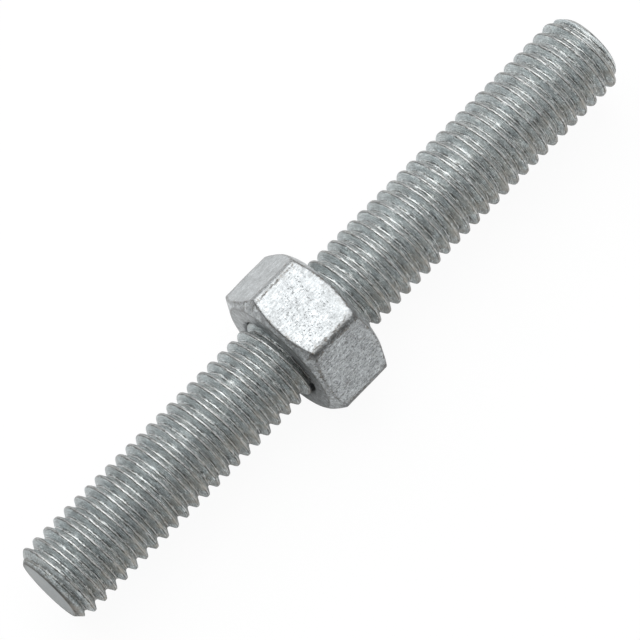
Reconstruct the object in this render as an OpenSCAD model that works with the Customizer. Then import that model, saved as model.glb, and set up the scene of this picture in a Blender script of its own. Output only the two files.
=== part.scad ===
// Threaded rod with one hexagon nut screwed on near its middle.
// Axes: X runs along the rod, Z is up, the origin is on the rod's axis at mid-length.
// The rod lies level, carried by one flat of the nut.

/* [Thread] */
// Diameter over the thread crests (M8 coarse, zinc coated)
thread_d = 8; // [7.7:0.01:8.1]
// Advance of the thread in one turn, right-hand
pitch = 1.25; // [1:0.05:1.5]
// Depth from crest to root, with the root partly filled by zinc
thread_depth = 0.64; // [0.5:0.01:0.68]
// Width of the flat at the root of the groove
root_flat = 0.25; // [0.2:0.01:0.34]
// Flat steps in one turn of the thread flanks
turn_steps = 20; // [12:1:22]
// Distance from the -X end to the crest on the +Y side
thread_start = 0.87; // [0:0.01:1.25]

/* [Rod] */
// Length over the two cut ends
rod_len = 67.5; // [50:0.5:69]
// Size of the 45 degree chamfer on each cut end
end_chamfer = 0.88; // [0.4:0.01:1.2]

/* [Nut] */
// Width across flats
nut_af = 12.78; // [12.6:0.01:13]
// Height along the rod
nut_h = 6.6; // [6:0.05:6.8]
// Position of the nut's middle along the rod, from mid-length
nut_x = -2.35; // [-12:0.05:12]
// Rounding of the six long edges
edge_r = 0.7; // [0.2:0.05:1]
// Diameter of the flat bearing face, where the 30 degree chamfer starts
bearing_d = 11.7; // [11:0.1:12.2]
// Mouth diameter of the countersink at each face
sink_d = 8.6; // [8.3:0.1:9]

/* [Fit] */
// Radial play between the nut's bore and the thread crests
bore_play = 0.05; // [0.02:0.01:0.1]

/* [Hidden] */
crest_r = thread_d / 2;
root_r = crest_r - thread_depth;
bore_r = crest_r + bore_play;
sink_r = sink_d / 2;
// flanks stand 30 degrees from square to the axis
flank = tan(30);
crest_half = (pitch - root_flat) / 2 - thread_depth * flank;
// the ridge starts under the core and ends above the crests, and the envelope trims it
ridge_under = 0.12;
ridge_over = 0.08;
turns = ceil(rod_len / pitch) + 2;
steps = turns * turn_steps;
corner_at = (nut_af / 2 - edge_r) / cos(30);
zinc = [0.63, 0.66, 0.68];
zinc_nut = [0.74, 0.76, 0.77];

// One helical ridge of trapezoid section around the X axis.
module thread_ridge() {
  foot_r = root_r - ridge_under;
  top_r = crest_r + ridge_over;
  foot = crest_half + (crest_r - foot_r) * flank;
  top = crest_half - ridge_over * flank;
  section = [[foot_r, -foot], [top_r, -top], [top_r, top], [foot_r, foot]];
  x0 = thread_start - pitch - rod_len / 2;
  points = [for (i = [0 : steps], s = section)
    let (a = 360 * i / turn_steps, x = x0 + pitch * i / turn_steps)
    [x + s[1], s[0] * cos(a), s[0] * sin(a)]];
  sides = [for (i = [0 : steps - 1], j = [0 : 3])
    let (k = (j + 1) % 4, a = 4 * i + j, b = 4 * i + k, c = 4 * (i + 1) + k, d = 4 * (i + 1) + j)
    each [[a, b, c], [a, c, d]]];
  first = [3, 2, 1, 0];
  last = [for (j = [0 : 3]) 4 * steps + j];
  polyhedron(points = points, faces = concat(sides, [first], [last]));
}

// Rod envelope: crest cylinder with a chamfer at each end, along +Z from z = 0.
module rod_envelope() {
  cylinder(r1 = crest_r - end_chamfer, r2 = crest_r, h = end_chamfer, $fn = 96);
  translate([0, 0, end_chamfer]) cylinder(r = crest_r, h = rod_len - 2 * end_chamfer, $fn = 96);
  translate([0, 0, rod_len - end_chamfer])
    cylinder(r1 = crest_r, r2 = crest_r - end_chamfer, h = end_chamfer, $fn = 96);
}

module threaded_rod() {
  color(zinc) intersection() {
    union() {
      translate([-rod_len / 2 - 1, 0, 0]) rotate([0, 90, 0])
        cylinder(r = root_r, h = rod_len + 2, $fn = 96);
      thread_ridge();
    }
    translate([-rod_len / 2, 0, 0]) rotate([0, 90, 0]) rod_envelope();
  }
}

// Hexagon with rounded corners, two of them on the Y axis.
module rounded_hexagon() {
  polygon([for (i = [0 : 5], s = [-30, 30])
    let (c = 60 * i + 30)
    [corner_at * cos(c) + edge_r * cos(c + s), corner_at * sin(c) + edge_r * sin(c + s)]]);
  for (i = [0 : 5]) rotate(60 * i + 30) translate([corner_at, 0]) circle(r = edge_r, $fn = 48);
}

// Blank that gives both faces their 30 degree chamfer.
module nut_blank() {
  wide = nut_af * 0.65;
  drop = (wide - bearing_d / 2) * tan(30);
  rotate_extrude($fn = 96) polygon([
    [0, -nut_h / 2], [bearing_d / 2, -nut_h / 2], [wide, drop - nut_h / 2],
    [wide, nut_h / 2 - drop], [bearing_d / 2, nut_h / 2], [0, nut_h / 2]]);
}

// 45 degree countersink at the +Z face, running past it by a small margin.
module countersink() {
  deep = sink_r - bore_r + 0.05;
  translate([0, 0, nut_h / 2 - deep])
    cylinder(r1 = bore_r - 0.05, r2 = sink_r + 0.1, h = deep + 0.1, $fn = 96);
}

module hex_nut() {
  color(zinc_nut) translate([nut_x, 0, 0]) rotate([0, 90, 0]) difference() {
    intersection() {
      translate([0, 0, -nut_h / 2]) linear_extrude(height = nut_h) rounded_hexagon();
      nut_blank();
    }
    translate([0, 0, -nut_h / 2 - 1]) cylinder(r = bore_r, h = nut_h + 2, $fn = 96);
    countersink();
    mirror([0, 0, 1]) countersink();
  }
}

threaded_rod();
hex_nut();
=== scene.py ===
# %% [markdown]
# # A zinc coated threaded rod with one hexagon nut
# The real thing is a piece of screw-cut steel bar, cut square at both ends and dipped in molten
# zinc, with one nut turned on near its middle. The solids already hold its form. Here each of the
# two pieces gets a finer skin: a thread with rounded, slightly uneven crests, a nut with softened
# edges, and the grey, pitted, streaky finish that zinc leaves.

# %% Load the solids
import bpy
import math
import numpy as np
from types import SimpleNamespace
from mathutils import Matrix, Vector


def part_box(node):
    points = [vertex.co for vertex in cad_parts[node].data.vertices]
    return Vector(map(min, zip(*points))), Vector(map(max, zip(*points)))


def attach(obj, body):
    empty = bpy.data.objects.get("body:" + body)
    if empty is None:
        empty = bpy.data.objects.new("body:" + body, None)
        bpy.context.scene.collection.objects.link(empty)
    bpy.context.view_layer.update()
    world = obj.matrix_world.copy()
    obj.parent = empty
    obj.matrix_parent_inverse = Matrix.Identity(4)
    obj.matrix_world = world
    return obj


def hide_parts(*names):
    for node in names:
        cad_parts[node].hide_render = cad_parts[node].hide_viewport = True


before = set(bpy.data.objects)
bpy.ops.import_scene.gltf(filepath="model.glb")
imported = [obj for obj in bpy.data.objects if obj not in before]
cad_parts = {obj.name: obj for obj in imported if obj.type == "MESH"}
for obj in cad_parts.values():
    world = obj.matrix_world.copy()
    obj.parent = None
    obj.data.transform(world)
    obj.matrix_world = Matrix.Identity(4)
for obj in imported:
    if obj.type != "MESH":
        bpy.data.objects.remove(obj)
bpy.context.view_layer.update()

MM = 0.001


def box_mm(node):
    """Lowest and highest corner of a solid, in millimetres."""
    low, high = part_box(node)
    return np.array(low) / MM, np.array(high) / MM


rod_low, rod_high = box_mm("threaded_rod")
nut_low, nut_high = box_mm("hex_nut")
ROD_LEN = rod_high[0] - rod_low[0]
CREST_R = (rod_high[2] - rod_low[2]) / 2
NUT_AF = nut_high[2] - nut_low[2]
NUT_H = nut_high[0] - nut_low[0]
NUT_X = (nut_high[0] + nut_low[0]) / 2
print(f"rod {ROD_LEN:.2f} long, crest radius {CREST_R:.3f}")
print(f"nut {NUT_AF:.2f} across flats, {NUT_H:.2f} high")

# %% [markdown]
# ## The thread's section
# One pitch of the thread is a trapezoid: a narrow crest, two flanks that stand 30 degrees from
# square to the axis, and a root. It could be modelled once and arrayed with a Screw modifier, but
# then every turn would be the same. Here the section is a formula instead, so that the same
# function can also carry the small unevenness of dipped zinc. The crest's corners are softened
# with a soft clamp and the root is an arc, because molten zinc rounds every edge that it covers.

# %% Thread section as a formula
PITCH = 1.25
THREAD_DEPTH = 0.64
ROOT_FLAT = 0.25
THREAD_START = 0.87
END_CHAMFER = 0.88
CREST_ROUND = 0.05
FLANK_ANGLE = math.radians(30)
FLANK = math.tan(FLANK_ANGLE)
CREST_HALF = (PITCH - ROOT_FLAT) / 2 - THREAD_DEPTH * FLANK
ROOT_R = ROOT_FLAT / 2 / FLANK
ROOT_HALF = ROOT_R * math.cos(FLANK_ANGLE)


def soft_low(a, b, round_over):
    """The lower of two heights, with the corner between them rounded over that distance."""
    return (a + b - np.sqrt((a - b) ** 2 + round_over ** 2)) / 2


def thread_depth_at(along):
    """Depth under the crest at a distance along the axis from a crest's middle, any sign.
    The distance is folded into one pitch. The flank is a straight line, clamped softly to the
    crest, and the root is the arc that touches both flanks and the full depth."""
    folded = np.abs((along / PITCH + 0.5) % 1.0 - 0.5) * PITCH
    flank = (folded - CREST_HALF) / FLANK
    from_root = np.minimum(PITCH / 2 - folded, ROOT_HALF)
    arc = THREAD_DEPTH - ROOT_R + np.sqrt(ROOT_R ** 2 - from_root ** 2)
    past_crest = -soft_low(-flank, np.zeros_like(flank), CREST_ROUND)
    return np.where(from_root < ROOT_HALF, arc, past_crest)


mid_groove = thread_depth_at(np.array([PITCH / 2]))[0]
print(f"crest flat {2 * CREST_HALF:.3f}, depth at mid groove {mid_groove:.3f}")

# %% [markdown]
# ## Unevenness in space
# Zinc runs and drains as it cools, so no crest is a perfect line. The unevenness is a value noise:
# random numbers on a coarse cubic lattice, blended smoothly in between. Because it is a function
# of the place in space, it has no seam where the skin closes on itself.

# %% Smooth noise in space
LATTICE = 32            # corners to a side, after which the noise repeats
LATTICE_SHIFT = 500.0   # keeps every place above zero


def smooth_noise(points, cell, seed):
    """Value noise from -1 to 1 at an array of points. Each point finds the eight lattice corners
    around it, and blends their random numbers with the weights 3t^2 - 2t^3."""
    lattice = np.random.default_rng(seed).uniform(-1, 1, (LATTICE, LATTICE, LATTICE))
    place = points / cell + LATTICE_SHIFT
    corner = np.floor(place).astype(int)
    t = place - corner
    t = t * t * (3 - 2 * t)
    total = np.zeros(points.shape[:-1])
    for i in (0, 1):
        for j in (0, 1):
            for k in (0, 1):
                weight = ((t[..., 0] if i else 1 - t[..., 0])
                          * (t[..., 1] if j else 1 - t[..., 1])
                          * (t[..., 2] if k else 1 - t[..., 2]))
                total += weight * lattice[(corner[..., 0] + i) % LATTICE,
                                          (corner[..., 1] + j) % LATTICE,
                                          (corner[..., 2] + k) % LATTICE]
    return total


print("noise at the middle of the rod:", round(float(smooth_noise(np.zeros((1, 3)), 1.0, 3)[0]), 3))

# %% [markdown]
# ## From numbers to a mesh
# Both skins are made the same way: an array of points and an array of faces go into a mesh in one
# step, without a loop over the points. Where a skin meets itself, its points coincide, so they
# are merged afterwards, and then the faces are turned outwards. A closed skin has exactly two
# faces at every edge, which the count of open edges checks.

# %% Pieces
SAME_PLACE = 1e-7   # metres between points that are merged
NO_LENGTH = 1e-8    # metres under which an edge is dropped


def make_piece(name, points_mm, faces, body, node):
    """A mesh object from points in millimetres and a list of faces. It rides that body and
    stands for the solid of that node."""
    mesh = bpy.data.meshes.new(name)
    mesh.from_pydata((points_mm * MM).tolist(), [], faces.tolist())
    piece = bpy.data.objects.new(name, mesh)
    bpy.context.scene.collection.objects.link(piece)
    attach(piece, body)
    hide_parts(node)
    return piece


def close_and_smooth(piece):
    """Merge coincident points, drop what has no area, point the faces outwards, shade smooth."""
    import bmesh
    work = bmesh.new()
    work.from_mesh(piece.data)
    bmesh.ops.remove_doubles(work, verts=work.verts, dist=SAME_PLACE)
    bmesh.ops.dissolve_degenerate(work, dist=NO_LENGTH, edges=work.edges)
    bmesh.ops.recalc_face_normals(work, faces=work.faces)
    open_edges = sum(1 for e in work.edges if len(e.link_faces) != 2)
    work.to_mesh(piece.data)
    work.free()
    piece.data.polygons.foreach_set("use_smooth", np.ones(len(piece.data.polygons), bool))
    piece.data.update()
    triangles = sum(len(p.vertices) - 2 for p in piece.data.polygons)
    print(f"{piece.name}: {triangles} triangles, {open_edges} open edges")


# %% [markdown]
# ## The rod's skin
# A thread is one strip wound round and round. The grid follows it: the columns are angles, the
# rows are places in the section, and after one turn each row meets the row one pitch further on.
# Crests then lie exactly along grid lines, which keeps their highlights clean. Past the ends of the
# rod the same strip folds over onto the cut face and runs in to its centre, so the skin closes
# by itself.

# %% Rows of the strip
TURN_COLUMNS = 72
SECTION_ROWS = 22
FINE_STEPS = 2000
BEND_SHARE = 0.16


def running_total(values, step):
    """Area under a curve up to each of its points."""
    return np.concatenate([[0], np.cumsum((values[1:] + values[:-1]) / 2 * step)])


def section_places(count):
    """Places in one pitch, from 0 at the root to 1 at the next root, closer together where the
    section bends, and the length of surface up to each, measured from the crest. The places are
    evenly spaced in a running total of slope length plus a share for curvature."""
    fine = np.linspace(0, PITCH, FINE_STEPS + 1)
    step = fine[1]
    slope = np.gradient(thread_depth_at(fine + PITCH / 2), fine)
    bend = np.abs(np.gradient(slope, fine))
    length = running_total(np.sqrt(1 + slope ** 2), step)
    total = running_total(np.sqrt(1 + slope ** 2) + BEND_SHARE * bend, step)
    places = np.interp(np.arange(count + 1) / count, total / total[-1], fine / PITCH)
    return places, np.interp(places, fine / PITCH, length) - length[-1] / 2


# half the width of the strip's surface, from the crest's middle to the root's
STRIP_HALF = float(section_places(SECTION_ROWS)[1][-1])
print(f"{SECTION_ROWS} rows over {2 * STRIP_HALF:.3f} mm of surface")

# %% Points of the rod's skin
# each unevenness: how much, the lattice cell, both in millimetres, and the seed
STRIP_SWAY = (0.022, 1.7, 3)
STRIP_TREMBLE = (0.014, 0.55, 4)
CREST_WEAR = (0.010, 0.6, 5)
ROOT_SILT = (0.02, 0.9, 6)
CONE_DENTS = (0.02, 0.7, 7)
RIM_ROUND = 0.05


def unevenness(points, amount, cell, seed):
    """Smooth noise from minus that amount to plus that amount."""
    return amount * smooth_noise(points, cell, seed)


def strip_start():
    """The first crest's place along the axis, where the strip begins, a whole number of pitches
    and a half before it, and how many turns take the strip past the other end."""
    half = ROD_LEN / 2
    first_crest = THREAD_START - half
    pitches_before = 0.5 + math.ceil((first_crest + half + 1.5 * PITCH) / PITCH)
    start = first_crest - PITCH * pitches_before
    return first_crest, start, math.ceil((half + PITCH - start) / PITCH)


def rod_grid():
    """Points of the rod's skin as rows by columns. A point's place along the axis is its row's
    place plus the advance of the thread at its angle. Its radius is the crest radius less the
    thread's depth and a little noise, cut by the chamfer's cone at each end. What lies past
    an end is folded onto the cut face, at a radius that falls to zero over one pitch."""
    half = ROD_LEN / 2
    first_crest, start, turns = strip_start()
    rows = np.arange(turns * SECTION_ROWS + 1)
    places, _ = section_places(SECTION_ROWS)
    row_place = (rows // SECTION_ROWS) + places[rows % SECTION_ROWS]
    angle = 2 * np.pi * np.arange(TURN_COLUMNS) / TURN_COLUMNS
    x = start + PITCH * (row_place[:, None] + angle[None, :] / (2 * np.pi))
    # the row nearest to each end is moved onto it, so that the rim is a clean circle
    for end in (-half, half):
        nearest = np.abs(x - end).argmin(axis=0)
        x[nearest, np.arange(TURN_COLUMNS)] = end
    past = np.clip(np.abs(x) - half, 0, PITCH) / PITCH
    held = np.clip(x, -half, half)
    ring = np.stack([held, CREST_R * np.cos(angle) + 0 * x, CREST_R * np.sin(angle) + 0 * x],
                    axis=-1)
    wander = unevenness(ring, *STRIP_SWAY) + unevenness(ring, *STRIP_TREMBLE)
    depth = thread_depth_at(held + wander - first_crest - PITCH * angle / (2 * np.pi))
    in_groove = depth / THREAD_DEPTH
    worn = (CREST_WEAR[0] + unevenness(ring, *CREST_WEAR)) * (1 - in_groove)
    radius = CREST_R - depth - worn + unevenness(ring, *ROOT_SILT) * in_groove
    cone = CREST_R - END_CHAMFER + (half - np.abs(held)) + unevenness(ring, *CONE_DENTS)
    radius = soft_low(radius, cone, RIM_ROUND) * (1 - past)
    return np.stack([held, radius * np.cos(angle), radius * np.sin(angle)], axis=-1)


rod_points = rod_grid()
print("rod grid:", rod_points.shape[0], "rows of", rod_points.shape[1])

# %% [markdown]
# ## Joining the strip to itself
# The last column of a wound strip meets the first one, but one pitch further along, so its faces
# reach over by a whole turn of rows. The strip also gets a flat map, as if it were unwound and
# laid out straight: what is drawn on that map later follows the thread.


# %% Faces and map of the rod's skin
def wound_faces(rows, columns, shift):
    """Triangles of a wound strip. The last column joins the first one, a whole pitch further on,
    and the split runs the way that a rim at a fixed place along the axis does."""
    i, j = np.meshgrid(np.arange(rows - 1), np.arange(columns), indexing="ij")
    last = j == columns - 1
    near_a, near_b = i * columns + j, (i + 1) * columns + j
    far_row = np.where(last, i + shift, i)
    far_column = np.where(last, 0, j + 1)
    far_a, far_b = far_row * columns + far_column, (far_row + 1) * columns + far_column
    kept = (far_row + 1 < rows).ravel()
    one = np.stack([near_a, near_b, far_a], axis=-1).reshape(-1, 3)[kept]
    two = np.stack([near_b, far_b, far_a], axis=-1).reshape(-1, 3)[kept]
    return np.concatenate([one, two]), i.ravel()[kept], j.ravel()[kept]


def unwound_map(i, j):
    """Map coordinates for each triangle's corners, in millimetres, as if the thread were unwound
    into a straight strip: along is the turn count times the crest's length of one turn, across
    is the length of surface from the crest. The strip's own edges meet in the root."""
    _, across = section_places(SECTION_ROWS)
    turn, row = i // SECTION_ROWS, i % SECTION_ROWS

    def place(down, on):
        along = (turn + (j + on) / TURN_COLUMNS) * 2 * np.pi * CREST_R
        return np.stack([along, across[row + down]], axis=-1)

    one = np.stack([place(0, 0), place(1, 0), place(0, 1)], axis=1)
    two = np.stack([place(1, 0), place(1, 1), place(0, 1)], axis=1)
    return np.concatenate([one, two]).reshape(-1, 2)


rod_faces, strip_rows, strip_columns = wound_faces(rod_points.shape[0], TURN_COLUMNS, SECTION_ROWS)
rod = make_piece("rod_skin", rod_points.reshape(-1, 3), rod_faces,
                 "rod", "threaded_rod")
strip_map = rod.data.uv_layers.new(name="unwound")
strip_map.data.foreach_set("uv", unwound_map(strip_rows, strip_columns).ravel().astype(np.float32))
close_and_smooth(rod)

# %% [markdown]
# ## The nut's skin
# The nut is a ring: seen in section through its axis, it is a block with its outer corners
# cut by the 30 degree chamfer and its bore opened by a countersink. The section changes with
# the angle only in how far out the hexagon's side lies. So the skin is that section carried round
# the axis, with each corner of the section replaced by a short curve, and the six long edges
# rounded as forging leaves them.

# %% Hexagon
EDGE_R = 0.7
SIXTH = math.pi / 3
SIDE_COLUMNS = 60
CORNER_EASE = 0.75


def from_flat_middle(angle):
    """Angle from the middle of the flat that a direction falls on."""
    return angle % SIXTH - SIXTH / 2


def hexagon_radius(angle):
    """Distance from the axis to the rounded hexagon. Within each sixth, measured from the middle
    of a flat, it is the flat's distance over the cosine, or past the tangent point the far
    crossing with the corner's circle."""
    flat = NUT_AF / 2
    turned = from_flat_middle(angle)
    centre = (flat - EDGE_R) / math.cos(SIXTH / 2)
    tangent = math.atan2((flat - EDGE_R) * math.tan(SIXTH / 2), flat)
    from_corner = SIXTH / 2 - np.abs(turned)
    arc = (centre * np.cos(from_corner)
           + np.sqrt(np.maximum(EDGE_R ** 2 - (centre * np.sin(from_corner)) ** 2, 0)))
    return np.where(np.abs(turned) < tangent, flat / np.cos(turned), arc)


def side_angles():
    """Angles of the columns: each sixth of the turn is stepped more finely near its corner."""
    even = np.linspace(-1, 1, SIDE_COLUMNS, endpoint=False)
    eased = np.sin(even * np.pi / 2) * CORNER_EASE + even * (1 - CORNER_EASE)
    sixth = eased * SIXTH / 2
    return np.concatenate([np.pi / 2 + k * SIXTH + sixth for k in range(6)])


nut_corner_r = hexagon_radius(side_angles()).max()
print(f"nut: {6 * SIDE_COLUMNS} columns, {2 * nut_corner_r:.2f} mm across its rounded corners")

# %% Section of the nut
CORNER_POINTS = 7
SIDE_POINTS = 8
LARGEST_CUT = 0.45


def rounded_section(corners, radii):
    """A closed section with rounded corners, for all angles at once. At each corner the points
    run along a quadratic curve from one side to the other, which starts and ends at the given
    distance from the corner, or at most at a share of the shorter side. Between two corners
    they run straight."""
    out = []
    for k, here in enumerate(corners):
        following = (k + 1) % len(corners)
        to_before, to_after = corners[k - 1] - here, corners[following] - here
        len_before = np.linalg.norm(to_before, axis=-1, keepdims=True)
        len_after = np.linalg.norm(to_after, axis=-1, keepdims=True)
        cut = np.minimum(radii[k], LARGEST_CUT * np.minimum(len_before, len_after))
        a, b = here + to_before / len_before * cut, here + to_after / len_after * cut
        t = np.linspace(0, 1, CORNER_POINTS)[:, None, None]
        out.append((1 - t) ** 2 * a + 2 * t * (1 - t) * here + t ** 2 * b)
        next_cut = np.minimum(radii[following], LARGEST_CUT * len_after)
        side_end = corners[following] - to_after / len_after * next_cut
        out.append(b + (side_end - b) * np.linspace(0, 1, SIDE_POINTS)[1:-1, None, None])
    return np.concatenate(out)


# %% Points of the nut's skin
BEARING_R = 11.7 / 2
SINK_R = 8.6 / 2
BORE_R = CREST_R + 0.05
CHAMFER_SLOPE = math.tan(math.radians(30))
# rounding in millimetres where the bore, the countersink, the face and the chamfer meet
BORE_CUT, SINK_CUT, FACE_CUT, SHOULDER_CUT = 0.08, 0.12, 0.2, 0.14
# each unevenness: how much, the lattice cell, both in millimetres, and the seed
NUT_WAVES = (0.02, 2.4, 11)
NUT_TREMBLE = (0.012, 0.8, 12)
KEPT_INSIDE = 0.02   # how far the uneven skin is drawn in, so that it stays within the solid
UNEVEN_FROM = 0.6    # distance out from the countersink over which the unevenness sets in


def nut_grid():
    """Points of the nut's skin as section rows by angle columns. The section's corners, in
    place along the axis and radius, go from the bore out over one face, along the hexagon's
    side, and back over the other face. With them come each point's distances into a flat from
    its long edge and from its chamfer, and outwards from the rim of the end face."""
    angle = side_angles()
    side = hexagon_radius(angle)
    half = NUT_H / 2
    drop = (side - BEARING_R) * CHAMFER_SLOPE
    sink = SINK_R - BORE_R
    one = np.ones_like(side)
    one_face = [(sink, BORE_R, BORE_CUT), (0, SINK_R, SINK_CUT), (0, BEARING_R, FACE_CUT),
                (drop, side, SHOULDER_CUT)]
    corners = [np.stack([(inward - half) * one, r * one], axis=-1) for inward, r, _ in one_face]
    corners += [corner * (-1, 1) for corner in reversed(corners)]
    cuts = [cut for _, _, cut in one_face]
    section = rounded_section(corners, cuts + cuts[::-1])
    x, r = section[..., 0], section[..., 1]

    def placed(radius):
        return np.stack([NUT_X + x, radius * np.cos(angle), radius * np.sin(angle)], axis=-1)

    flat_half = (NUT_AF / 2 - EDGE_R) * math.tan(SIXTH / 2)
    gaps = {"from_edge": flat_half - np.abs(r * np.sin(from_flat_middle(angle))),
            "from_chamfer": half - drop - np.abs(x),
            "from_face": r - BEARING_R}
    uneven = unevenness(placed(r), *NUT_WAVES) + unevenness(placed(r), *NUT_TREMBLE)
    outside = np.clip((r - SINK_R) / UNEVEN_FROM, 0, 1)
    return placed(r + outside * (uneven - KEPT_INSIDE)), gaps


def ring_faces(rows, columns):
    """Quads of a grid that closes both ways, round the axis and round the section."""
    i, j = np.meshgrid(np.arange(rows), np.arange(columns), indexing="ij")
    a, b = i * columns + j, ((i + 1) % rows) * columns + j
    c, d = ((i + 1) % rows) * columns + (j + 1) % columns, i * columns + (j + 1) % columns
    return np.stack([a, b, c, d], axis=-1).reshape(-1, 4)


nut_points, nut_gaps = nut_grid()
nut_faces = ring_faces(*nut_points.shape[:2])
nut = make_piece("nut_skin", nut_points.reshape(-1, 3), nut_faces,
                 "nut", "hex_nut")
for gap_name, gap in nut_gaps.items():
    layer = nut.data.attributes.new(gap_name, "FLOAT", "POINT")
    layer.data.foreach_set("value", gap.ravel().astype(np.float32))
close_and_smooth(nut)

# %% [markdown]
# ## Zinc as a material
# A dipped zinc coat is metal, but a dull one: it mirrors its surroundings only roughly, its grey
# drifts between blue and warm, and it is pricked all over by tiny dark pits. All of that is built
# from noise. Object coordinates, scaled so that one unit is a millimetre, serve for what has no
# direction, such as clouds, grain and pits. The map of the unwound thread serves for what follows
# the thread, such as the fine lines that rolling leaves along it. A material is a net of nodes,
# and a small class keeps the joining of them short.


# %% Node helper
class Nodes:
    """A short way to add shader nodes and join them. A value may be a number or a socket."""

    def __init__(self, owner):
        owner.use_nodes = True
        self.tree = owner.node_tree
        self.tree.nodes.clear()

    def add(self, kind, inputs=None, **settings):
        """A node of that kind, with its settings and inputs filled in."""
        node = self.tree.nodes.new(kind)
        for key, value in settings.items():
            setattr(node, key, value)
        for key, value in (inputs or {}).items():
            self.fill(node.inputs[key], value)
        return node

    def fill(self, socket, value):
        """Joins a socket to another one, or writes a number or a colour into it."""
        if isinstance(value, bpy.types.NodeSocket):
            self.tree.links.new(value, socket)
        else:
            socket.default_value = value

    def place_mm(self):
        """The place on the piece, in millimetres."""
        return self.scaled(self.add("ShaderNodeTexCoord").outputs["Object"], (1 / MM,) * 3)

    def scaled(self, vector, scale):
        """A vector with X, Y and Z each multiplied by its own number."""
        return self.add("ShaderNodeMapping", {"Vector": vector, "Scale": scale}).outputs["Vector"]

    def parts(self, vector):
        """The X, Y and Z of a vector."""
        return self.add("ShaderNodeSeparateXYZ", {"Vector": vector}).outputs

    def attribute(self, name):
        """A number that the mesh carries at each point."""
        return self.add("ShaderNodeAttribute", attribute_name=name).outputs["Fac"]

    def noise(self, place, scale, detail=3.0, rough=0.55):
        """Noise around 0.5. The scale is its bumps per unit of the place, as one number, or as
        three for a noise that is drawn out along some axis."""
        if isinstance(scale, tuple):
            place, scale = self.scaled(place, scale), 1.0
        made = self.add("ShaderNodeTexNoise", {"Vector": place, "Scale": scale, "Detail": detail,
                                               "Roughness": rough})
        return made.outputs["Fac"]

    def remap(self, value, low, high, to_low=0.0, to_high=1.0):
        """A straight line from one range to another, held at its ends."""
        made = self.add("ShaderNodeMapRange", {"Value": value, "From Min": low, "From Max": high,
                                               "To Min": to_low, "To Max": to_high})
        return made.outputs["Result"]

    def fade(self, share, at_none, at_full):
        """From one value to the other as a share goes from zero to one."""
        return self.remap(share, 0.0, 1.0, at_none, at_full)

    def swing(self, noise, reach, amount):
        """A noise made into a factor, from 1 - amount to 1 + amount while the noise goes from
        0.5 - reach to 0.5 + reach."""
        return self.remap(noise, 0.5 - reach, 0.5 + reach, 1 - amount, 1 + amount)

    def math(self, operation, a, b=0.0):
        """One step of arithmetic on two values, or on the first alone."""
        return self.add("ShaderNodeMath", {0: a, 1: b}, operation=operation).outputs["Value"]

    def chain(self, operation, values):
        """One operation carried on from the first value to the last."""
        total = values[0]
        for value in values[1:]:
            total = self.math(operation, total, value)
        return total

    def times(self, *values):
        """The product of several values."""
        return self.chain("MULTIPLY", values)

    def plus(self, *values):
        """Their sum."""
        return self.chain("ADD", values)

    def most(self, *values):
        """The largest of them."""
        return self.chain("MAXIMUM", values)

    def least(self, *values):
        """The smallest of them."""
        return self.chain("MINIMUM", values)

    def minus(self, a, b):
        """The first value less the second."""
        return self.math("SUBTRACT", a, b)

    def unsigned(self, value):
        """A value without its sign, such as a distance to either side."""
        return self.math("ABSOLUTE", value)

    def line(self, place, centre, half_width):
        """One at a place, falling to zero that far to either side."""
        return self.remap(self.unsigned(self.minus(place, centre)), 0.0, half_width, 1.0, 0.0)

    def mix(self, factor, a, b):
        """The first colour, turned into the second by that share."""
        made = self.add("ShaderNodeMix", {"Factor": factor}, data_type="RGBA")
        colours = [s for s in made.inputs if s.type == "RGBA"]
        self.fill(next(s for s in colours if s.name == "A"), a)
        self.fill(next(s for s in colours if s.name == "B"), b)
        return next(s for s in made.outputs if s.type == "RGBA")

    def dimmed(self, colour, level):
        """A colour times a number."""
        made = self.add("ShaderNodeVectorMath", {"Vector": colour, "Scale": level},
                        operation="SCALE")
        return made.outputs["Vector"]

    def finish_metal(self, colour, rough, metal, specular, height, strength, distance):
        """Joins a metal surface with that relief to the output. The distance is in metres."""
        bump = self.add("ShaderNodeBump", {"Height": height, "Strength": strength,
                                           "Distance": distance})
        shader = self.add("ShaderNodeBsdfPrincipled",
                          {"Base Color": colour, "Roughness": rough, "Metallic": metal,
                           "Specular IOR Level": specular, "Normal": bump.outputs["Normal"]})
        self.add("ShaderNodeOutputMaterial", {"Surface": shader.outputs["BSDF"]})


# %% [markdown]
# ## Zinc on the thread
# The coat drains off the crests and gathers in the roots, and handling then rubs the crests bright
# in places. So everything is measured from two lines, the middle of the crest and the middle of
# the root. First come the places, as shares from zero to one of being on some part of the rod.
# Then come the noises, which two or more of the later steps share. Then brightness is worked out
# as one number, a product of factors around one. Light and dark marks are laid over it last.
# Part of this light and dark is painted: shade towards +Y and, in part, in the roots and along the
# dark lines, and highlights in the roots, in part on the crests, and along the band facing the
# lamp.


# %% Places on the thread
# in millimetres: from an end inwards, and along Y towards either side of the rod. Towards +Y shade
# is painted, and towards -Y, away from the lamp, the bright lines are painted lighter
FACE_EDGE = (0.02, 0.06)
CONE_EDGE = (1.1, 0.7)
PAINTED_SHADE_SIDE, AWAY_FROM_LAMP, WARM_SIDE = (1.2, 3.4), (-0.6, -1.8), (-1.6, -3.6)
SLOW_SWAY, FAST_SWAY = 0.03, 0.035


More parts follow.
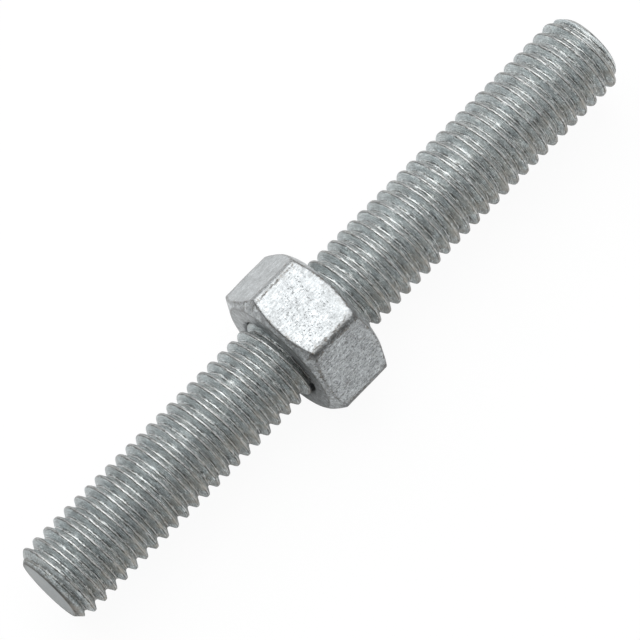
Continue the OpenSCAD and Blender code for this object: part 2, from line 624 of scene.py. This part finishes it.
def thread_places(n):
    """What the coat asks about a point: its place in space and on the unwound strip, its
    distances from the middle of the crest and of the root, both swaying a little, and its
    shares of being on a cut face, on the near end's cone, towards +Y, where shade is painted,
    and towards -Y, away from the lamp, where the bright lines are painted lighter."""
    at = SimpleNamespace(mm=n.place_mm())
    at.strip = n.add("ShaderNodeUVMap", uv_map="unwound").outputs["UV"]
    spot = n.parts(at.mm)
    at.x, at.y = spot["X"], spot["Y"]
    at.across = n.parts(at.strip)["Y"]
    from_root = n.minus(at.across, n.times(n.math("SIGN", at.across), STRIP_HALF))
    sway = n.plus(n.remap(n.noise(at.mm, 0.9, 2.0), 0.3, 0.7, -SLOW_SWAY, SLOW_SWAY),
                  n.remap(n.noise(at.mm, 4.5, 3.0, 0.7), 0.3, 0.7, -FAST_SWAY, FAST_SWAY))
    at.crest, at.root = n.plus(at.across, sway), n.plus(from_root, sway)
    at.from_end = n.minus(ROD_LEN / 2, n.unsigned(at.x))
    at.off_face = n.remap(at.from_end, *FACE_EDGE)
    at.on_face = n.remap(at.from_end, *FACE_EDGE, 1.0, 0.0)
    at.near_half = n.math("LESS_THAN", at.x, 0.0)
    at.near_cone = n.times(n.remap(at.from_end, *CONE_EDGE), at.near_half)
    at.far_side, at.near_side = n.remap(at.y, *PAINTED_SHADE_SIDE), n.remap(at.y, *AWAY_FROM_LAMP)
    return at


# %% Noises on the thread
STRIP_ROUGH = 0.75


def thread_noises(n, at):
    """The noises that the thread's coat is made of. Some lie in space, and the others on the
    unwound strip, drawn out along it."""
    def along_strip(per_length, per_width, detail):
        return n.noise(at.strip, (per_length, per_width, 1), detail, STRIP_ROUGH)

    return SimpleNamespace(
        clouds=n.noise(at.mm, 0.5, 4.0), mottle=n.noise(at.mm, 2.6, 3.0, 0.65),
        grain=n.noise(at.mm, 6.5, 3.0, 0.75),
        grooves=along_strip(0.4, 5.5, 4.0), scratches=along_strip(0.9, 11.0, 3.0),
        breaks=along_strip(1.2, 2.5, 5.0), long_breaks=along_strip(0.6, 1.6, 5.0),
        bites=along_strip(1.3, 1.5, 4.0))


# %% Brightness of the thread
NEAR_FLANK = 0.42
DARKEST = 0.12
# places along the rod, in millimetres, between which it gets lighter: darker at the near end,
# lighter towards the far end, and over the last one a painted highlight along the band at Y = 0,
# which faces the lamp
NEAR_STRETCH, FAR_STRETCH, HIGHLIGHT_STRETCH = (-34.0, -4.0), (-8.0, 34.0), (-20.0, 34.0)
HIGHLIGHT_HALF_WIDTH = 1.2
# in millimetres across the strip: where the dark band on a crest or in a root begins and ends
CREST_BAND, ROOT_BAND = (0.07, 0.17), (0.04, 0.12)


def thread_level(n, at, coat):
    """Brightness of the flanks: fine lines along the strip, mottle and grain multiplied, calmed
    on the near flank and towards +Y and livelier towards -Y, times the slow changes over the
    rod: painted shade on the +Y edge with the rest a little lighter, darker towards the near end
    and lighter towards the far end, and a painted highlight along the band that faces the lamp.
    The cut faces are plain and darker, and only the grain shows there."""
    lines = n.times(n.swing(coat.grooves, 0.10, 0.28), n.swing(coat.scratches, 0.07, 0.65))
    lines = n.plus(lines, n.times(at.near_cone, n.minus(1.0, lines), 0.8))
    uneven = n.times(lines, n.swing(coat.mottle, 0.15, 0.16), n.swing(coat.grain, 0.07, 0.4))
    calm = n.remap(n.line(at.across, -NEAR_FLANK, NEAR_FLANK), 0.0, 0.7, 1.0, 0.6)
    calm = n.times(calm, n.fade(at.far_side, 1.0, 0.65), n.fade(at.near_side, 1.0, 1.12))
    level = n.most(n.plus(1.0, n.times(n.minus(uneven, 1.0), calm)), DARKEST)
    # painted shade: darker on the +Y edge of the rod and a little lighter elsewhere; then darker
    # towards the near end
    level = n.times(level, n.swing(coat.clouds, 0.15, 0.1), n.fade(at.far_side, 1.07, 0.90),
                    n.remap(at.x, *NEAR_STRETCH, 0.88, 1.0))
    # lighter towards the far end except on the +Y edge, and a painted highlight along the band
    # facing the lamp, stronger towards the far end
    lighter = n.times(n.minus(1.0, at.far_side), n.remap(at.x, *FAR_STRETCH, 0.0, 0.13))
    painted_highlight = n.times(n.line(at.y, 0.0, HIGHLIGHT_HALF_WIDTH),
                          n.remap(at.x, *HIGHLIGHT_STRETCH, 0.0, 0.12))
    level = n.times(level, n.plus(1.0, lighter, painted_highlight))
    cut_face = n.remap(coat.grain, 0.4, 0.6, 0.42, 0.58)
    return n.plus(n.times(level, at.off_face), n.times(at.on_face, cut_face))


def thread_tone(n, at, level):
    """The coat's colour before its marks: darker and greyer on the crest and in the root, and
    greyer where it is brightest. The darker root is partly painted shade."""
    on_crest = n.times(n.remap(n.unsigned(at.crest), *CREST_BAND, 1.0, 0.0), at.off_face)
    on_root = n.times(n.remap(n.unsigned(at.root), *ROOT_BAND, 1.0, 0.0), at.off_face)
    level = n.times(level, n.fade(on_crest, 1.0, 0.42), n.fade(on_root, 1.0, 0.62))
    greyer = n.most(on_crest, n.times(on_root, 0.7), n.remap(level, 1.0, 2.0))
    return n.dimmed(n.mix(greyer, ZINC_ON_ROD, NEUTRAL_GREY), level)


# %% Marks on the thread
# in millimetres across the strip: half widths of the lines, and where the dark ones lie
CREST_LINE, ROOT_LINE, LIP_LINE = 0.075, 0.05, 0.06
NEAR_LIP, FAR_LIP, ROOT_LIP = -0.12, 0.14, 0.10
# in millimetres: half widths of the dark rims, and how far from the end they fade out
NEAR_RIM, FAR_RIM = 0.45, 0.08
RIM_EDGE = (0.25, 0.1)


def bright_lines(n, at, coat):
    """Share of bright metal: a hairline on the crest, partly wear and partly painted highlight,
    and a painted highlight in the root, both broken by noise and fewer on the near cone and
    towards +Y.
    """
    worn = n.times(n.line(at.crest, 0.0, CREST_LINE), n.remap(coat.breaks, 0.40, 0.53, 0.05, 1.5))
    glint = n.times(n.line(at.root, 0.0, ROOT_LINE),
                    n.remap(coat.long_breaks, 0.38, 0.52, 0.25, 1.5))
    return n.times(n.least(n.most(worn, glint), 1.0), at.off_face,
                   n.fade(at.near_cone, 1.0, 0.15), n.fade(at.far_side, 1.0, 0.55))


def dark_lines(n, at, coat):
    """Share of dark: ragged lines on either side of the crest and of the root, partly marks in
    the coat and partly painted shade, fewer towards +Y.
    """
    near_lip = n.times(n.line(at.crest, NEAR_LIP, LIP_LINE),
                       n.remap(coat.bites, 0.47, 0.55, 0.15, 1.8))
    far_lip = n.times(n.line(at.crest, FAR_LIP, LIP_LINE),
                      n.remap(coat.long_breaks, 0.52, 0.58, 0.1, 1.2))
    root_lip = n.times(n.line(n.unsigned(at.root), ROOT_LIP, LIP_LINE),
                       n.remap(coat.bites, 0.44, 0.56, 1.6, 0.1))
    return n.times(n.least(n.most(near_lip, far_lip, root_lip), 1.0), at.off_face,
                   n.fade(at.far_side, 1.0, 0.65))


def end_marks(n, at):
    """Shares of two marks at the ends: pits on the near end's cone, and a dark rim round each
    cut face, wider at the near end. The rim is a line at the radius where the cone begins."""
    pitted = n.times(at.near_cone, n.remap(n.noise(at.mm, 4.2, 4.0, 0.85), 0.42, 0.52, 1.0, 0.0),
                     at.off_face)
    radius = n.add("ShaderNodeVectorMath", {"Vector": n.scaled(at.mm, (0, 1, 1))},
                   operation="LENGTH").outputs["Value"]
    rim_width = n.fade(at.near_half, FAR_RIM, NEAR_RIM)
    rim = n.times(n.line(radius, CREST_R - END_CHAMFER, rim_width),
                  n.remap(at.from_end, *RIM_EDGE))
    return pitted, rim


# %% The thread's coat
ZINC_ON_ROD = (0.447, 0.494, 0.504, 1)
NEUTRAL_GREY = (0.425, 0.437, 0.430, 1)
# colours of the bright lines towards the lamp and away from it: lighter away from it, as painted
# light
WEAR_AND_SHEEN_LAMP_SIDE = (0.58, 0.595, 0.59, 1)
WEAR_AND_SHEEN_AWAY_SIDE = (0.68, 0.69, 0.675, 1)
# the dark lines beside crests and roots: partly marks in the coat, partly painted shade
LINE_AND_SHADE_BLACK = (0.03, 0.031, 0.03, 1)
PIT_BLACK = (0.05, 0.048, 0.045, 1)
CONE_PIT_BROWN = (0.11, 0.105, 0.09, 1)
END_RIM_BLACK = (0.06, 0.058, 0.053, 1)
WARM_GREY = (0.36, 0.335, 0.29, 1)


def thread_zinc(name):
    """The coat on the thread. Each mark turns the colour so far into its own by its share. The
    pitted cone and the near rim are less of a metal, so that they stay dark at a glancing
    angle, and the relief is the sum of the noises less the dark marks."""
    material = bpy.data.materials.new(name)
    n = Nodes(material)
    at = thread_places(n)
    coat = thread_noises(n, at)
    bright, dark = bright_lines(n, at, coat), dark_lines(n, at, coat)
    pits = n.remap(n.noise(at.mm, 4.0, 2.0, 0.7), 0.64, 0.70)
    pitted, rim = end_marks(n, at)
    warm = n.times(n.plus(n.remap(at.y, *WARM_SIDE), 0.22),
                   n.remap(n.noise(at.mm, 0.9, 3.0, 0.7), 0.40, 0.62))

    colour = thread_tone(n, at, thread_level(n, at, coat))
    # the bright lines' colour, lighter towards -Y, away from the lamp: painted light
    wear_and_sheen = n.mix(at.near_side, WEAR_AND_SHEEN_LAMP_SIDE, WEAR_AND_SHEEN_AWAY_SIDE)
    for share, strength, tone in ((bright, 0.75, wear_and_sheen), (dark, 0.92, LINE_AND_SHADE_BLACK),
                                  (pits, 0.85, PIT_BLACK), (pitted, 0.7, CONE_PIT_BROWN),
                                  (rim, 0.85, END_RIM_BLACK), (warm, 0.6, WARM_GREY)):
        colour = n.mix(n.times(share, strength), colour, tone)

    rough = n.minus(n.remap(coat.grain, 0.3, 0.7, 0.28, 0.46), n.times(bright, 0.02))
    dull = n.most(n.times(rim, at.near_half), n.times(pitted, 0.6))
    metal = n.times(n.plus(n.times(bright, n.fade(at.near_side, 0.25, -0.1)), 0.6),
                    n.minus(1.0, dull))
    raised = n.plus(n.times(coat.grooves, 0.9), n.times(coat.scratches, 0.6),
                    n.times(coat.grain, 0.5), coat.mottle)
    height = n.minus(raised, n.plus(n.times(dark, 0.9), pits))
    n.finish_metal(colour, rough, metal, specular=n.fade(dull, 0.5, 0.05), height=height,
                   strength=0.9, distance=0.00003)
    return material


rod.data.materials.append(thread_zinc("zinc_on_rod"))
print("zinc_on_rod:", len(rod.data.materials[0].node_tree.nodes), "nodes")

# %% [markdown]
# ## Zinc on the nut
# The nut's flats are smooth, with fine dark specks, and where a flat ends the zinc is thin, so the
# edges and rims are dark and ragged. The long edges are also painted darker towards -Y, away from
# the lamp, and the end faces darker next to the rod, as painted shade. The mesh carries three
# distances, from the long edge, from the chamfer and from the rim of the end face, so that these
# lines keep their width all round.
# One side of the nut has more marks on it than the rest.


# %% The nut's coat
ZINC_ON_NUT = (0.398, 0.416, 0.424)
SPECK_GREY = (0.10, 0.10, 0.098, 1)
SCORE_BROWN = (0.13, 0.122, 0.11, 1)
EDGE_GREY = (0.085, 0.084, 0.08, 1)
RIM_BROWN = (0.06, 0.052, 0.043, 1)
STAIN_BROWN = (0.19, 0.16, 0.125, 1)
# in millimetres: half widths of the dark lines, how ragged they are, and places along Y
EDGE_LINE, CHAMFER_LINE, FACE_LINE, RAGGED_BY = 0.14, 0.16, 0.16, 0.16
# the second span: along Y, from +Y to -Y, the long edges get darker away from the lamp, as painted
# shade
SOILED_SIDE, EDGE_SHADE_SIDE = (-3.0, -4.2), (2.0, -2.0)
# in millimetres from where a flat ends: past it, on the rounded edge, well inside, and beside it
PAST_RIM, ON_EDGE, INSIDE, BESIDE = (0.0, -0.15), (0.0, -0.10), (0.2, 1.6), (0.05, 0.7)


def nut_places(n):
    """What the nut's coat asks about a point: its place, its three distances, each with the
    same ragged sway, and its share of being on the side with more marks."""
    at = SimpleNamespace(mm=n.place_mm())
    at.y = n.parts(at.mm)["Y"]
    at.from_edge, at.from_chamfer = n.attribute("from_edge"), n.attribute("from_chamfer")
    at.ragged = n.noise(at.mm, 2.6, 5.0, 0.8)
    at.sway = n.remap(at.ragged, 0.3, 0.7, -RAGGED_BY, RAGGED_BY)
    at.edge, at.chamfer = n.plus(at.from_edge, at.sway), n.plus(at.from_chamfer, at.sway)
    at.face = n.plus(n.attribute("from_face"), at.sway)
    at.soiled = n.remap(at.y, *SOILED_SIDE)
    return at


def nut_noises(n, at):
    """The noises that the nut's coat is made of. The last three are drawn out along the axis."""
    return SimpleNamespace(
        clouds=n.noise(at.mm, 0.45, 4.0), mottle=n.noise(at.mm, 1.8, 3.0, 0.65),
        grain=n.noise(at.mm, 6.5, 3.0, 0.7), patches=n.noise(at.mm, 0.4, 2.0),
        specks=n.noise(at.mm, 6.0, 3.0, 0.75), stains=n.noise(at.mm, 3.2, 4.0, 0.75),
        streaks=n.noise(at.mm, (0.8, 6.0, 6.0), 3.0, 0.65),
        scores=n.noise(at.mm, (0.9, 4.0, 4.0), 4.0, 0.8),
        flecks=n.noise(at.mm, (3.5, 7.0, 7.0), 3.0, 0.8))


def nut_level(n, at, coat):
    """Brightness of the nut: a product of noises around one. The end faces are darker within
    the bearing circle, next to the rod, which is partly painted shade, what is off the flats is
    patchier, and the soiled side has light and dark flecks."""
    level = n.times(n.swing(coat.clouds, 0.15, 0.1), n.remap(coat.mottle, 0.35, 0.65, 0.85, 1.12),
                    n.swing(coat.grain, 0.08, 0.18), n.remap(coat.streaks, 0.38, 0.60, 0.86, 1.1))
    on_face, off_flat = n.remap(at.face, *PAST_RIM), n.remap(at.chamfer, *PAST_RIM)
    patchy = n.times(off_flat, n.remap(coat.mottle, 0.38, 0.62, -0.2, 0.2))
    flecks = n.minus(n.remap(coat.flecks, 0.40, 0.60, 0.26, -0.04),
                     n.remap(coat.flecks, 0.53, 0.64, 0.0, 0.5))
    # the end faces next to the rod are darkened: partly painted shade
    return n.times(level, n.plus(1.0, patchy), n.fade(on_face, 1.0, 0.76),
                   n.plus(1.0, n.times(flecks, at.soiled)))


def nut_marks(n, at, coat):
    """Shares of the marks, in the order in which they are laid on: specks, densest on the middle
    of each flat, scores along the axis, the rounded long edges, darker towards -Y as painted
    shade, the rims where a flat, a chamfer or an end face ends, and stains beside those."""
    inner = n.remap(n.least(at.from_edge, at.from_chamfer), *INSIDE)
    dense = n.remap(n.plus(n.times(inner, 0.22), coat.patches), 0.42, 0.78, 0.2, 1.0)
    specks = n.times(n.remap(coat.specks, 0.58, 0.65), n.most(dense, n.times(at.soiled, 0.9)))
    scores = n.times(n.remap(coat.scores, 0.39, 0.45, 1.0, 0.0), n.fade(at.soiled, 0.2, 1.0))
    # the long edges: dark all round, and darker towards -Y, away from the lamp, as painted shade
    edges = n.times(n.remap(n.plus(at.from_edge, n.times(at.sway, 0.7)), *ON_EDGE),
                    n.remap(at.y, *EDGE_SHADE_SIDE, 0.35, 1.0),
                    n.remap(at.ragged, 0.38, 0.57, 0.2, 1.0))
    rims = n.times(n.most(n.line(at.edge, 0.0, EDGE_LINE), n.line(at.chamfer, 0.0, CHAMFER_LINE),
                          n.line(at.face, 0.0, FACE_LINE)),
                   n.remap(coat.mottle, 0.40, 0.58, 0.2, 1.2))
    near_rim = n.remap(n.least(n.unsigned(at.from_edge), n.unsigned(at.from_chamfer)),
                       *BESIDE, 1.0, 0.0)
    stains = n.times(near_rim, n.remap(coat.stains, 0.55, 0.63))
    return specks, scores, edges, rims, stains


def nut_zinc(name):
    """The coat on the nut. Each mark turns the colour so far into its own by its share, and
    the specks and the rims also lie a little deep."""
    material = bpy.data.materials.new(name)
    n = Nodes(material)
    at = nut_places(n)
    coat = nut_noises(n, at)
    specks, scores, edges, rims, stains = nut_marks(n, at, coat)
    colour = n.dimmed(ZINC_ON_NUT, nut_level(n, at, coat))
    for share, strength, tone in ((specks, n.fade(at.soiled, 0.78, 0.9), SPECK_GREY),
                                  (scores, 0.42, SCORE_BROWN), (edges, 0.85, EDGE_GREY),
                                  (n.least(rims, 1.0), 0.85, RIM_BROWN),
                                  (stains, 0.6, STAIN_BROWN)):
        colour = n.mix(n.times(share, strength), colour, tone)
    rough = n.remap(coat.grain, 0.3, 0.7, 0.30, 0.48)
    raised = n.plus(n.times(coat.grain, 0.6), n.times(coat.streaks, 0.5))
    height = n.minus(raised, n.plus(specks, n.times(rims, 0.8)))
    n.finish_metal(colour, rough, metal=0.7, specular=0.5, height=height,
                   strength=0.6, distance=0.00002)
    return material


nut.data.materials.append(nut_zinc("zinc_on_nut"))
print("materials:", [m.name for m in bpy.data.materials])

# %% [markdown]
# ## Floor, light and camera
# A pale floor carries the rod on the nut's lowest flat. The floor takes most of its colour from an
# emission that only camera, glossy and transmission rays see, so it reads as white, and metal
# mirrors a little of that white, while the object's soft shadow stays. One large soft lamp
# overhead makes the bright streaks along the crests and lights the nut's top.


# %% Floor
WHITE = (1, 1, 1, 1)
FLOOR_GREY = (0.9, 0.9, 0.9, 1)
FLOOR_REACH = 3.0      # metres from its middle to each side
FLOOR_WHITENESS = 0.94
MIRRORED_SHARE = 0.13


def pale_floor():
    """A flat square under the part, far larger than it, with the mostly white floor material."""
    size, height = FLOOR_REACH, nut_low[2] * MM
    mesh = bpy.data.meshes.new("floor")
    mesh.from_pydata([(-size, -size, height), (size, -size, height), (size, size, height),
                      (-size, size, height)], [], [(0, 1, 2, 3)])
    floor = bpy.data.objects.new("floor", mesh)
    bpy.context.scene.collection.objects.link(floor)
    material = bpy.data.materials.new("pale_floor")
    n = Nodes(material)
    ray = n.add("ShaderNodeLightPath").outputs
    mirrored = n.times(n.most(ray["Is Glossy Ray"], ray["Is Transmission Ray"]), MIRRORED_SHARE)
    seen = n.times(n.most(ray["Is Camera Ray"], mirrored), FLOOR_WHITENESS)
    matt = n.add("ShaderNodeBsdfDiffuse", {"Color": FLOOR_GREY}).outputs["BSDF"]
    white = n.add("ShaderNodeEmission", {"Color": WHITE, "Strength": 1.0}).outputs["Emission"]
    both = n.add("ShaderNodeMixShader", {0: seen, 1: matt, 2: white}).outputs["Shader"]
    n.add("ShaderNodeOutputMaterial", {"Surface": both})
    floor.data.materials.append(material)


pale_floor()
print("floor at", round(nut_low[2], 3), "mm")

# %% Surround
SURROUND_GREY = (0.985, 1.0, 1.01, 1)
ALL_ROUND, FAR_WALL, SIDE_WALL = 0.26, 0.72, 0.12


def pale_world():
    """A grey surround that brightens towards +X and a little towards +Y, in proportion to those
    parts of the direction, and shows as white behind the object."""
    world = bpy.data.worlds.new("surround")
    bpy.context.scene.world = world
    n = Nodes(world)
    direction = n.parts(n.add("ShaderNodeTexCoord").outputs["Generated"])
    level = n.plus(n.times(n.most(direction["X"], 0.0), FAR_WALL),
                   n.times(n.most(direction["Y"], 0.0), SIDE_WALL), ALL_ROUND)
    camera_ray = n.add("ShaderNodeLightPath").outputs["Is Camera Ray"]
    background = n.add("ShaderNodeBackground", {"Color": n.mix(camera_ray, SURROUND_GREY, WHITE),
                                                "Strength": n.most(level, camera_ray)})
    n.add("ShaderNodeOutputWorld", {"Surface": background.outputs["Background"]})


pale_world()
print("world:", bpy.context.scene.world.name)


# %% Lamp
def soft_lamp(name, direction, distance, width, depth, strength):
    """A rectangular area lamp that far away in that direction, turned to face the object. Its
    width runs about along X, its depth about along Y."""
    from mathutils import Vector
    away = Vector(direction).normalized()
    lamp = bpy.data.lights.new(name, "AREA")
    lamp.shape, lamp.size, lamp.size_y, lamp.energy = "RECTANGLE", width, depth, strength
    held = bpy.data.objects.new(name, lamp)
    held.location = away * distance
    held.rotation_euler = (-away).to_track_quat("-Z", "Y").to_euler()
    bpy.context.scene.collection.objects.link(held)


soft_lamp("overhead", direction=(0.05, 0.42, 0.90), distance=0.5, width=0.45, depth=0.7,
          strength=3.1)

# %% Camera
SENSOR_WIDTH = 36          # millimetres
CLIP = (0.01, 20)          # metres, well before and well past the part


def place_camera(azimuth, elevation, distance, target, roll, lens):
    """A camera that looks at the target, in millimetres, from that azimuth and elevation and
    that many metres off, then rolls about its own line of sight."""
    from mathutils import Matrix, Vector
    a, e = math.radians(azimuth), math.radians(elevation)
    away = Vector((math.cos(e) * math.cos(a), math.cos(e) * math.sin(a), math.sin(e)))
    camera = bpy.data.cameras.new("camera")
    camera.lens, camera.sensor_width = lens, SENSOR_WIDTH
    camera.clip_start, camera.clip_end = CLIP
    held = bpy.data.objects.new("camera", camera)
    rolled = Matrix.Rotation(math.radians(roll), 4, "Z")
    turn = away.to_track_quat("Z", "Y").to_matrix().to_4x4() @ rolled
    held.matrix_world = Matrix.Translation(Vector(target) * MM + away * distance) @ turn
    bpy.context.scene.collection.objects.link(held)
    bpy.context.scene.camera = held


place_camera(azimuth=-132.05, elevation=71.36, distance=0.3610, target=(-0.76, -0.157, -0.05),
             roll=-4.73, lens=236.25)
bpy.context.scene.view_settings.view_transform = "Standard"
print("camera:", bpy.context.scene.camera.name)
